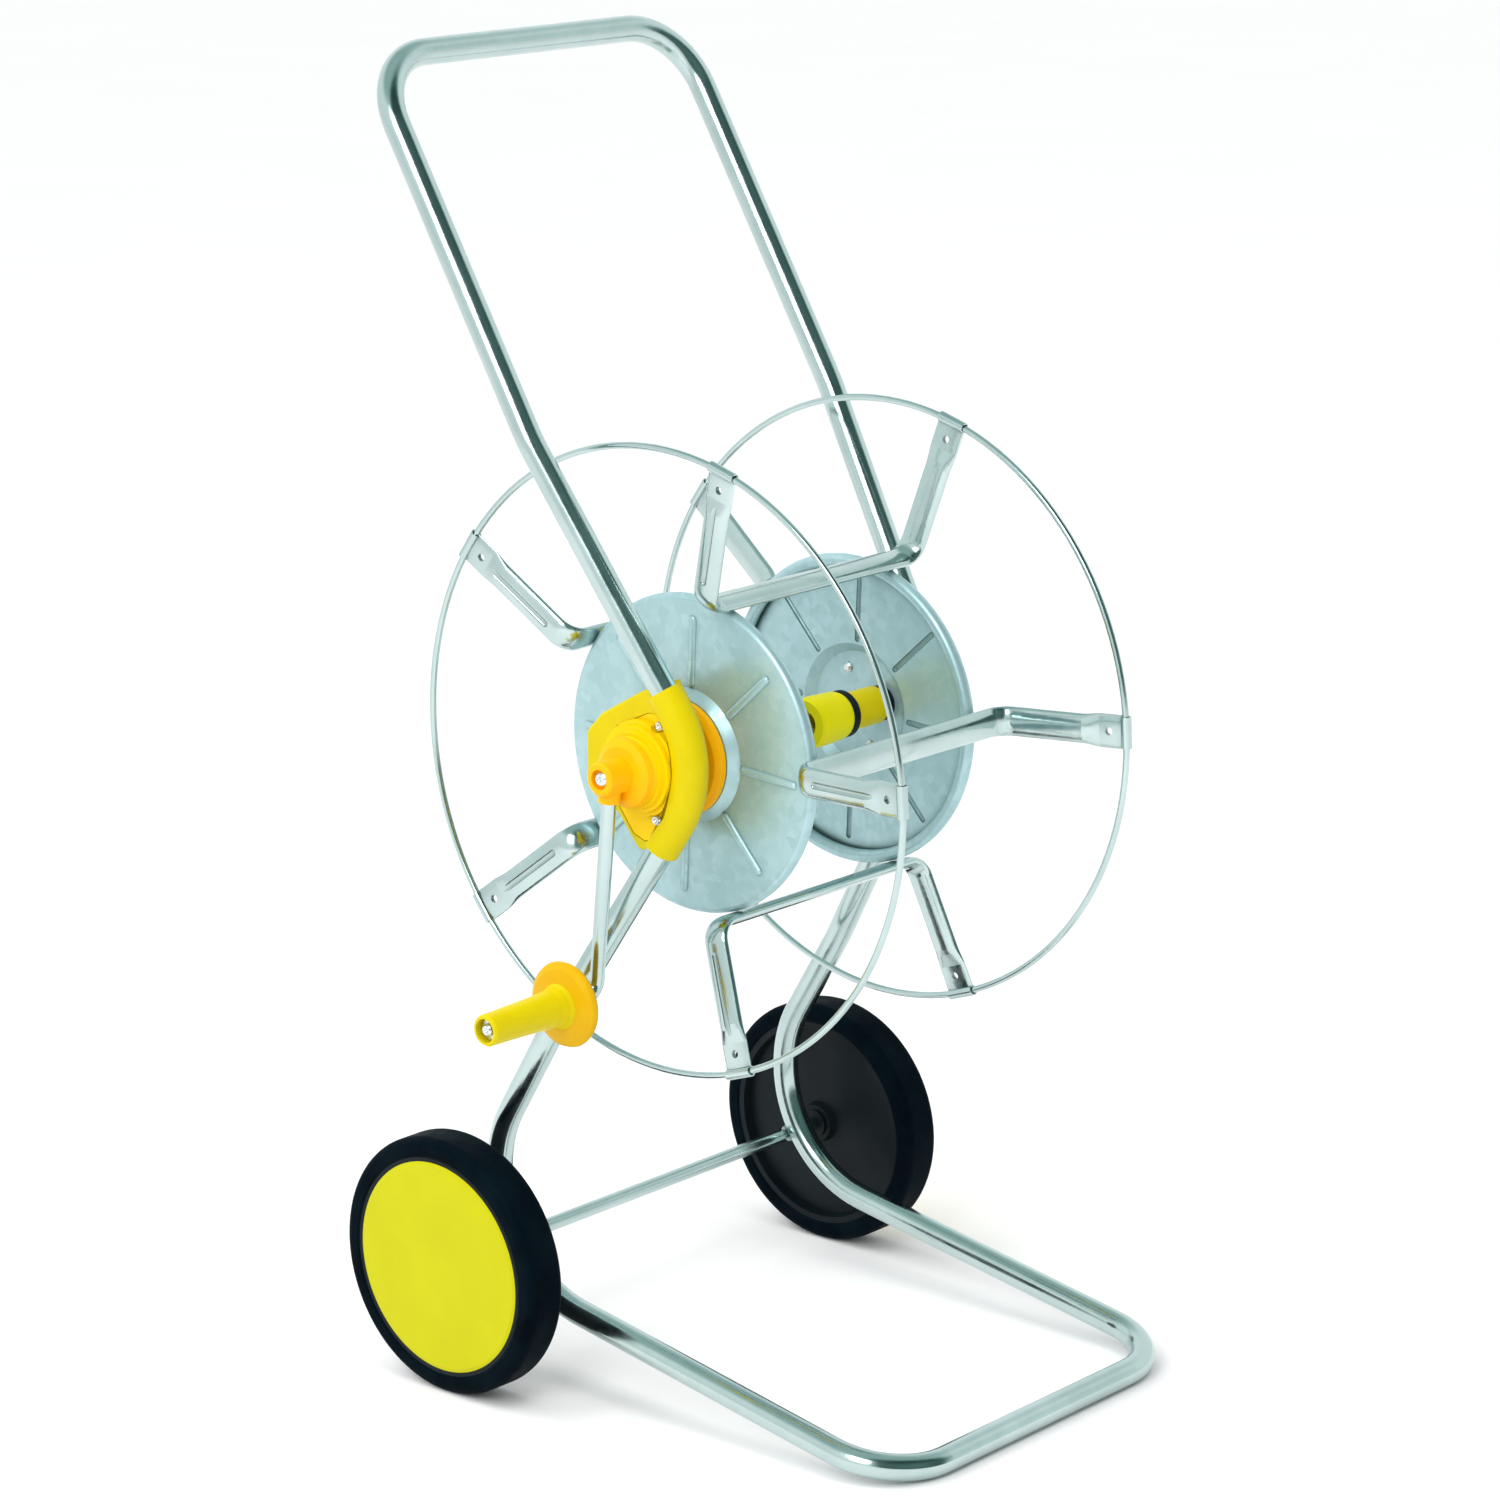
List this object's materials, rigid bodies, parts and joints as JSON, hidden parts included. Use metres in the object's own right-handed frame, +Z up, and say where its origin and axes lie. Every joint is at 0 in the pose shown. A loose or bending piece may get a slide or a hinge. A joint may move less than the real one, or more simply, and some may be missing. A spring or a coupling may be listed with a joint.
{
  "type": "hose reel trolley",
  "caption": "Tubular steel garden hose-reel trolley with an open spoked drum, crank handle, hub brackets and transport wheels.",
  "frame": {"origin": "on the ground under the middle of the trolley's box", "axes": "+X along the wheel axle and reel axis towards the water inlet, +Y to the rear where the handle leans, +Z up"},
  "size_m": [0.5236, 0.5058, 0.9987],
  "materials": {
    "amber_plastic": "moulded amber plastic, semi-gloss",
    "black_plastic": "black moulded plastic",
    "galvanised_sheet": "satin galvanised sheet",
    "lemon_plastic": "moulded lemon-yellow plastic, semi-gloss",
    "orange_plastic": "moulded orange plastic, semi-gloss",
    "seal_rubber": "black rubber",
    "steel_fastener": "zinc-plated screw steel",
    "tyre_black": "black tyre, satin",
    "weld_steel": "zinc-plated weld bead",
    "yellow_plastic": "moulded yellow plastic, semi-gloss",
    "zinc_tube": "bright zinc plating, streaky reflections"
  },
  "bodies": {
    "frame": {"axle": "zinc_tube", "axle_retainer_left": "steel_fastener", "axle_retainer_right": "steel_fastener", "axle_washer_left": "steel_fastener", "axle_washer_right": "steel_fastener", "axle_welds": "weld_steel", "base_tube": "zinc_tube", "bearing_cover_left": "amber_plastic", "bearing_cover_right": "amber_plastic", "bracket_inner_left": "yellow_plastic", "bracket_inner_right": "yellow_plastic", "bracket_nuts": "steel_fastener", "bracket_outer_left": "yellow_plastic", "bracket_outer_right": "yellow_plastic", "bracket_screws": "steel_fastener", "frame_couplings": "zinc_tube", "handle_tube": "zinc_tube", "hub_bush_left": "black_plastic", "hub_bush_right": "black_plastic", "inlet_seal": "seal_rubber", "water_inlet": "black_plastic"},
    "reel": {"crank_arm": "zinc_tube", "crank_hub": "orange_plastic", "crank_screw": "steel_fastener", "disc_left": "galvanised_sheet", "disc_right": "galvanised_sheet", "drum_tube_1": "zinc_tube", "drum_tube_2": "zinc_tube", "drum_tube_3": "zinc_tube", "drum_tube_4": "zinc_tube", "drum_tube_5": "zinc_tube", "grip_screw": "steel_fastener", "hub_flange_left": "orange_plastic", "hub_flange_right": "orange_plastic", "hub_screws": "steel_fastener", "outlet_band": "black_plastic", "outlet_body": "amber_plastic", "outlet_collar": "lemon_plastic", "outlet_nut": "black_plastic", "rim_ring_left": "zinc_tube", "rim_ring_right": "zinc_tube"},
    "grip": {"crank_grip": "lemon_plastic", "grip_flange": "amber_plastic"},
    "wheel_left": {"cap_left": "lemon_plastic", "rim_left": "black_plastic", "tyre_left": "tyre_black"},
    "wheel_right": {"cap_right": "lemon_plastic", "rim_right": "black_plastic", "tyre_right": "tyre_black"}
  },
  "joints": [
    {"name": "reel_spin", "type": "hinge", "parent": "frame", "child": "reel", "pos_m": [0.02825, 0.0061, 0.4901], "axis": [1, 0, 0], "continuous": true},
    {"name": "grip_spin", "type": "hinge", "parent": "reel", "child": "grip", "pos_m": [-0.21175, 0.02657, 0.32335], "axis": [1, 0, 0], "continuous": true},
    {"name": "wheel_left_spin", "type": "hinge", "parent": "frame", "child": "wheel_left", "pos_m": [0.24325, 0.1445, 0.1], "axis": [1, 0, 0], "continuous": true},
    {"name": "wheel_right_spin", "type": "hinge", "parent": "frame", "child": "wheel_right", "pos_m": [-0.18675, 0.1445, 0.1], "axis": [1, 0, 0], "continuous": true}
  ]
}
